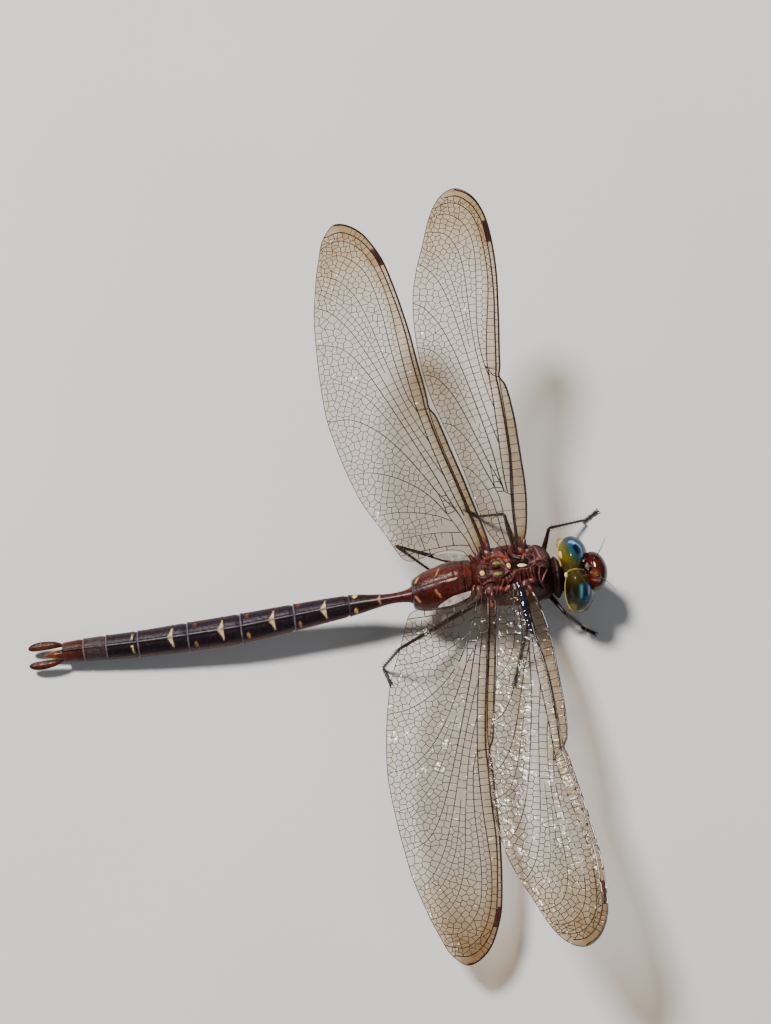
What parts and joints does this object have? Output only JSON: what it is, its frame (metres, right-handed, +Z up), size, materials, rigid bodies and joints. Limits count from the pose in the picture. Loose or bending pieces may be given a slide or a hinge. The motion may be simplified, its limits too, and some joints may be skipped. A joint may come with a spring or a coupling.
{
  "type": "hawker dragonfly",
  "caption": "Life-size hawker dragonfly standing with its smoky wings spread: big meeting eyes, red-brown thorax, narrow-waisted dark abdomen with yellow marks and leaf-shaped claspers.",
  "frame": {"origin": "on the floor, under the middle of the whole insect's box", "axes": "+X towards the head, +Y towards the left wing tips, +Z up; the feet stand on Z = 0"},
  "size_m": [0.0722, 0.0852, 0.0274],
  "materials": {
    "eye": "glossy olive green with a blue window, faceted",
    "face": "glossy orange-brown shell",
    "thorax_shell": "satin red-brown shell with short pale hair and yellow spots",
    "abdomen_red": "semi-gloss dark red shell",
    "abdomen_dark": "semi-gloss black-brown shell with yellow triangles",
    "tail_shell": "semi-gloss orange-brown shell",
    "leg": "semi-gloss black-brown shell with short spines",
    "wing": "clear smoky amber membrane on dark brown veins"
  },
  "bodies": {
    "root": {"abdomen_01": "abdomen_red", "abdomen_02": "abdomen_red", "abdomen_03": "abdomen_dark", "abdomen_04": "abdomen_dark", "abdomen_05": "abdomen_dark", "abdomen_06": "abdomen_dark", "abdomen_07": "abdomen_dark", "abdomen_08": "abdomen_dark", "abdomen_09": "abdomen_dark", "abdomen_10": "tail_shell", "antenna_left": "leg", "antenna_right": "leg", "cercus_left": "tail_shell", "cercus_right": "tail_shell", "clypeus": "face", "epiproct": "tail_shell", "eye_left": "eye", "eye_right": "eye", "frons": "face", "head_capsule": "thorax_shell", "labrum": "face", "leg_fore_left_femur": "leg", "leg_fore_left_tarsus": "leg", "leg_fore_left_tibia": "leg", "leg_fore_right_femur": "leg", "leg_fore_right_tarsus": "leg", "leg_fore_right_tibia": "leg", "leg_hind_left_femur": "leg", "leg_hind_left_tarsus": "leg", "leg_hind_left_tibia": "leg", "leg_hind_right_femur": "leg", "leg_hind_right_tarsus": "leg", "leg_hind_right_tibia": "leg", "leg_mid_left_femur": "leg", "leg_mid_left_tarsus": "leg", "leg_mid_left_tibia": "leg", "leg_mid_right_femur": "leg", "leg_mid_right_tarsus": "leg", "leg_mid_right_tibia": "leg", "prothorax": "thorax_shell", "pterothorax": "thorax_shell", "vertex": "face", "wing_fore_left": "wing", "wing_fore_right": "wing", "wing_hind_left": "wing", "wing_hind_right": "wing"}
  },
  "joints": []
}
